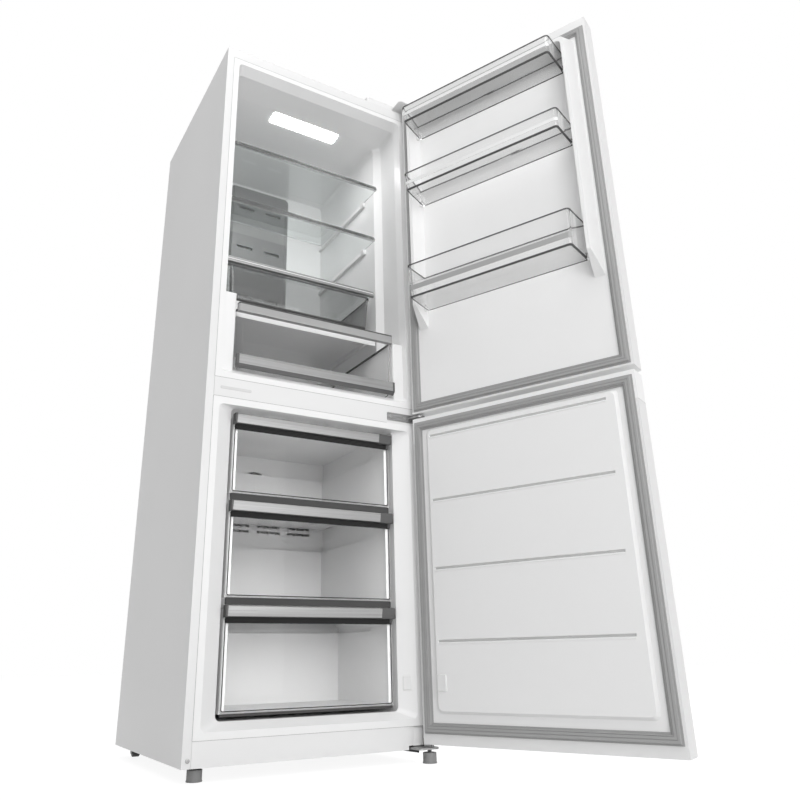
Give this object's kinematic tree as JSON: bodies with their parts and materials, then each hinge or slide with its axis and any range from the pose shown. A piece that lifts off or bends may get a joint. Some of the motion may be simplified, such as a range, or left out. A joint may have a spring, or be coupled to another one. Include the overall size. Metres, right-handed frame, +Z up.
{
  "type": "bottom freezer refrigerator",
  "caption": "Tall refrigerator with a fridge compartment above a freezer, hinged doors standing open, glass shelves, clear crispers, door bins and sliding freezer drawers.",
  "frame": {"origin": "on the floor, below the middle of the cabinet's front edge", "axes": "+Z up, +Y towards the back, +X to the right seen from the front"},
  "size_m": [0.8526, 1.1522, 1.874],
  "materials": {
    "white_steel": "satin white paint",
    "back_steel": "galvanised grey paint",
    "white_plastic": "smooth moulded white",
    "liner_white": "satin vacuum-formed white",
    "seal_grey": "matt magnetic seal",
    "clear_plastic": "clear moulded",
    "tinted_plastic": "tinted clear moulded",
    "shelf_glass": "toughened float",
    "trim_grey": "smooth grey strip",
    "silver_trim": "brushed silver film",
    "duct_grey": "dark satin",
    "hinge_steel": "zinc plated",
    "dark_steel": "black paint",
    "base_steel": "dark paint",
    "fin_metal": "mill finish",
    "black_rubber": "matt",
    "grey_plastic": "moulded grey",
    "black_plastic": "moulded black",
    "lamp_lens": "opal lens"
  },
  "bodies": {
    "cabinet": {"cabinet_shell": "white_steel", "back_panel": "back_steel", "fridge_liner": "liner_white", "freezer_liner": "liner_white", "mullion_cover": "white_steel", "mullion_plug": "white_plastic", "kick_plate": "white_plastic", "base_frame": "base_steel", "compressor": "dark_steel", "compressor_mounts": "black_rubber", "compressor_cover": "back_steel", "drip_tray": "grey_plastic", "evaporator": "fin_metal", "freezer_air_panel": "white_plastic", "fan_motor": "grey_plastic", "fridge_air_duct": "duct_grey", "ceiling_light": "lamp_lens", "door_sensor": "white_plastic", "top_shelf_glass": "shelf_glass", "middle_shelf_glass": "shelf_glass", "crisper_cover_glass": "shelf_glass", "shelf_trims": "trim_grey", "crisper_cover_trim": "trim_grey", "crisper_divider": "clear_plastic", "top_hinge": "hinge_steel", "top_hinge_cover": "white_plastic", "middle_hinge": "hinge_steel", "bottom_hinge": "dark_steel", "hinge_screws": "hinge_steel"},
    "upper_door": {"upper_door_skin": "white_steel", "upper_door_liner": "liner_white", "upper_door_gasket": "seal_grey", "upper_door_top_cap": "white_plastic", "upper_door_bottom_cap": "grey_plastic", "top_bin": "clear_plastic", "middle_bin": "clear_plastic", "bottom_bin": "clear_plastic"},
    "lower_door": {"lower_door_skin": "white_steel", "lower_door_liner": "liner_white", "lower_door_gasket": "seal_grey", "lower_door_top_cap": "white_plastic", "lower_door_bottom_cap": "white_plastic", "sensor_magnet": "white_plastic"},
    "upper_crisper": {"upper_crisper": "tinted_plastic"},
    "lower_crisper": {"lower_crisper": "clear_plastic", "lower_crisper_trim": "silver_trim"},
    "freezer_drawer_1": {"drawer_1_box": "white_plastic", "drawer_1_window": "clear_plastic", "drawer_1_bar": "silver_trim"},
    "freezer_drawer_2": {"drawer_2_box": "white_plastic", "drawer_2_window": "clear_plastic", "drawer_2_bar": "silver_trim"},
    "freezer_drawer_3": {"drawer_3_box": "white_plastic", "drawer_3_window": "clear_plastic", "drawer_3_bar": "silver_trim"},
    "foot_left": {"foot_left": "grey_plastic"},
    "foot_right": {"foot_right": "grey_plastic"},
    "roller_left": {"roller_left": "black_plastic"},
    "roller_right": {"roller_right": "black_plastic"},
    "fan_impeller": {"fan_impeller": "black_plastic"}
  },
  "joints": [
    {"name": "upper_door_hinge", "type": "hinge", "parent": "cabinet", "child": "upper_door", "pos_m": [0.2845, -0.025, 0], "axis": [0, 0, 1], "range_deg": [-113.9, 6]},
    {"name": "lower_door_hinge", "type": "hinge", "parent": "cabinet", "child": "lower_door", "pos_m": [0.2845, -0.025, 0], "axis": [0, 0, 1], "range_deg": [-113.2, 6.7]},
    {"name": "upper_crisper_slide", "type": "slide", "parent": "cabinet", "child": "upper_crisper", "axis": [0, -1, 0], "range_m": [0, 0.17]},
    {"name": "lower_crisper_slide", "type": "slide", "parent": "cabinet", "child": "lower_crisper", "axis": [0, -1, 0], "range_m": [0, 0.3]},
    {"name": "freezer_drawer_1_slide", "type": "slide", "parent": "cabinet", "child": "freezer_drawer_1", "axis": [0, -1, 0], "range_m": [0, 0.3]},
    {"name": "freezer_drawer_2_slide", "type": "slide", "parent": "cabinet", "child": "freezer_drawer_2", "axis": [0, -1, 0], "range_m": [0, 0.3]},
    {"name": "freezer_drawer_3_slide", "type": "slide", "parent": "cabinet", "child": "freezer_drawer_3", "axis": [0, -1, 0], "range_m": [0, 0.22]},
    {"name": "foot_left_screw", "type": "hinge", "parent": "cabinet", "child": "foot_left", "pos_m": [-0.26, 0.03, 0], "axis": [0, 0, 1], "continuous": true},
    {"name": "foot_right_screw", "type": "hinge", "parent": "cabinet", "child": "foot_right", "pos_m": [0.274, -0.028, 0], "axis": [0, 0, 1], "continuous": true},
    {"name": "roller_left_axle", "type": "hinge", "parent": "cabinet", "child": "roller_left", "pos_m": [-0.255, 0.54, 0.013], "axis": [1, 0, 0], "continuous": true},
    {"name": "roller_right_axle", "type": "hinge", "parent": "cabinet", "child": "roller_right", "pos_m": [0.255, 0.54, 0.013], "axis": [1, 0, 0], "continuous": true},
    {"name": "fan_spin", "type": "hinge", "parent": "cabinet", "child": "fan_impeller", "pos_m": [0, 0.448, 0.705], "axis": [0, 1, 0], "continuous": true}
  ]
}
